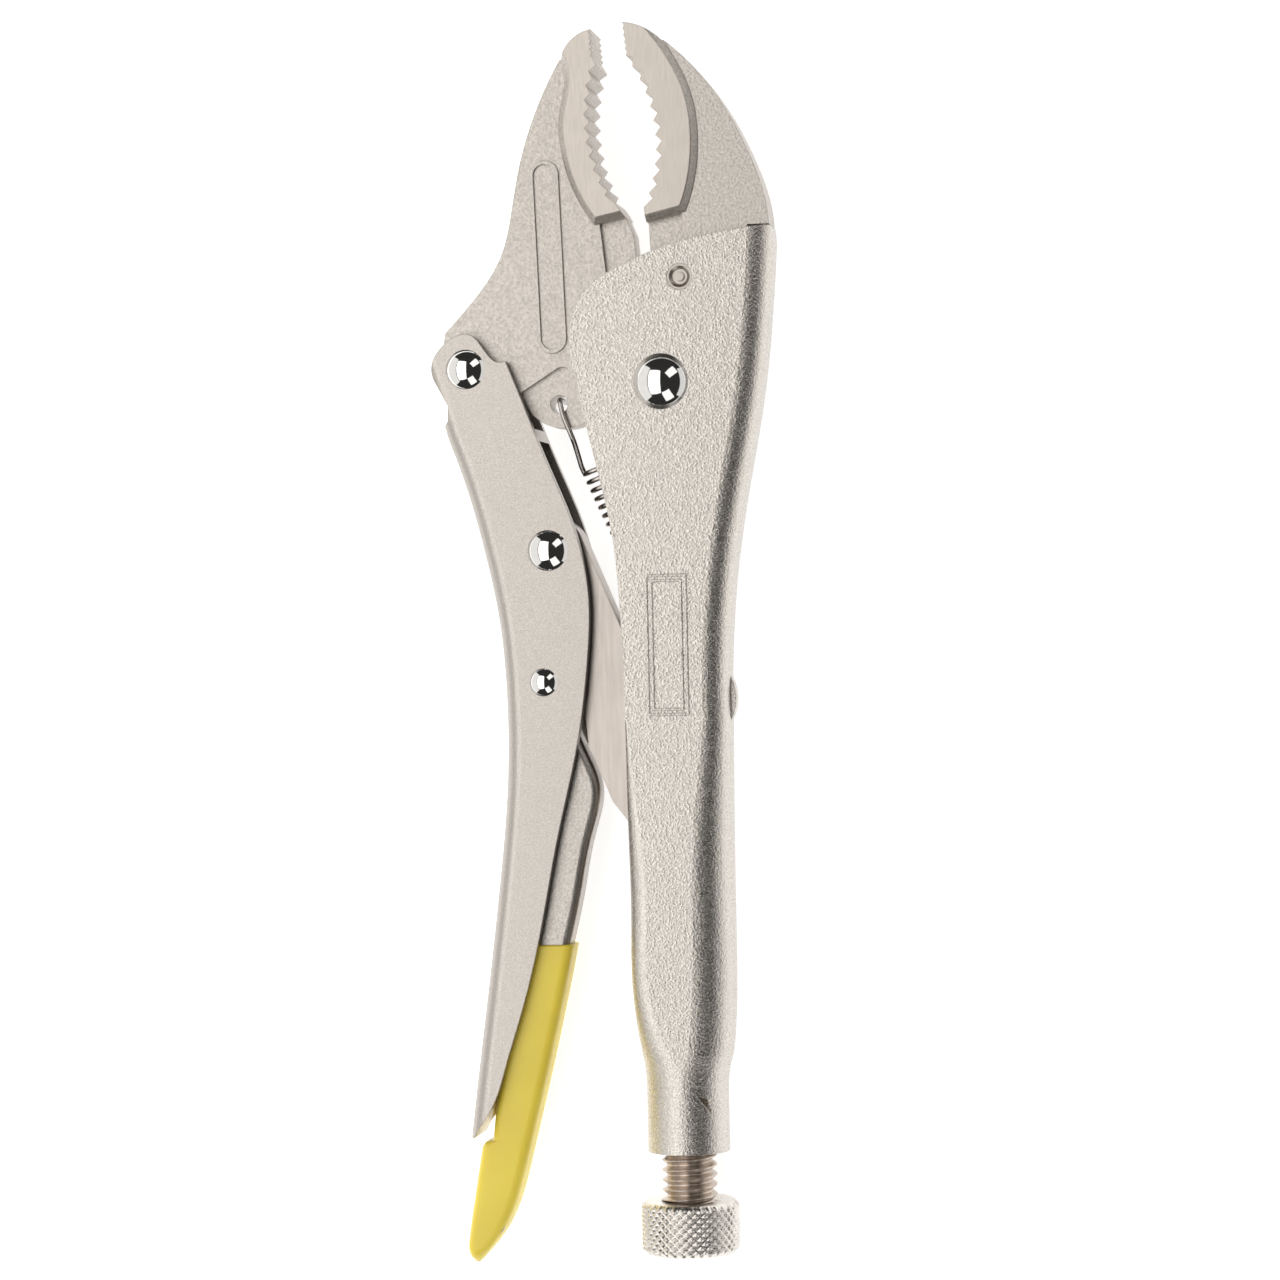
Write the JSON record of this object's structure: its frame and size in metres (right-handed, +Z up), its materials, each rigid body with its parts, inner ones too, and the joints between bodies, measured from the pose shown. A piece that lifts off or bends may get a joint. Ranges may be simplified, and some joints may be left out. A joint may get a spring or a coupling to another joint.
{
  "type": "locking pliers",
  "caption": "Curved-jaw locking pliers in satin nickel steel with a knurled adjusting screw and a yellow dipped grip on the release lever.",
  "frame": {"origin": "middle of the footprint, on the plane the tool lies on", "axes": "+Y from the knob to the jaw tips, +Z up through the thickness, +X towards the fixed handle"},
  "size_m": [0.07, 0.2496, 0.0198],
  "materials": {
    "handle_nickel": "satin",
    "jaw_steel": "satin",
    "lever_nickel": "satin",
    "link_steel": "satin",
    "release_steel": "satin",
    "grip_plastic": "gloss",
    "rivet_chrome": "gloss",
    "pin_steel": "satin",
    "screw_steel": "satin",
    "knob_nickel": "satin",
    "bush_steel": "satin",
    "spring_steel": "satin"
  },
  "bodies": {
    "fixed_handle": {"handle_shell": "handle_nickel", "fixed_jaw": "jaw_steel", "jaw_stake_pin": "pin_steel", "main_pivot_rivet": "rivet_chrome", "thread_bush": "bush_steel", "tension_spring": "spring_steel"},
    "movable_jaw": {"movable_jaw": "jaw_steel"},
    "lever": {"lever_handle": "lever_nickel", "jaw_lever_rivet": "rivet_chrome", "link_rivet": "rivet_chrome", "release_lever_rivet": "rivet_chrome"},
    "toggle_link": {"toggle_link": "link_steel"},
    "release_lever": {"release_lever": "release_steel", "grip_sleeve": "grip_plastic"},
    "screw": {"adjusting_screw": "screw_steel"},
    "knob": {"knurled_knob": "knob_nickel"}
  },
  "joints": [
    {"name": "jaw_open", "type": "hinge", "parent": "fixed_handle", "child": "movable_jaw", "pos_m": [0.01213, 0.05242, 0.0099], "axis": [0, 0, 1], "range_deg": [0, 20], "deforming": ["tension_spring"]},
    {"name": "lever_fold", "type": "hinge", "parent": "movable_jaw", "child": "lever", "pos_m": [-0.02787, 0.05622, 0.0099], "axis": [0, 0, 1], "range_deg": [-56, 0]},
    {"name": "link_fold", "type": "hinge", "parent": "lever", "child": "toggle_link", "pos_m": [-0.01167, 0.01922, 0.0099], "axis": [0, 0, 1], "range_deg": [0, 61.2]},
    {"name": "release_press", "type": "hinge", "parent": "lever", "child": "release_lever", "pos_m": [-0.01307, -0.00728, 0.0099], "axis": [0, 0, 1], "range_deg": [-1, 0]},
    {"name": "screw_travel", "type": "slide", "parent": "fixed_handle", "child": "screw", "axis": [0, 1, 0], "range_m": [-0.008, 0.002]},
    {"name": "knob_turn", "type": "hinge", "parent": "screw", "child": "knob", "pos_m": [0.01353, -0.11208, 0.0099], "axis": [0, 1, 0], "range_deg": [-1441, 361]}
  ],
  "couplings": [
    {"joint": "lever_fold", "follows": "jaw_open", "ratio": -2.788},
    {"joint": "link_fold", "follows": "jaw_open", "ratio": 3.044},
    {"joint": "knob_turn", "follows": "screw_travel", "rad_per_m": 3141.6}
  ]
}
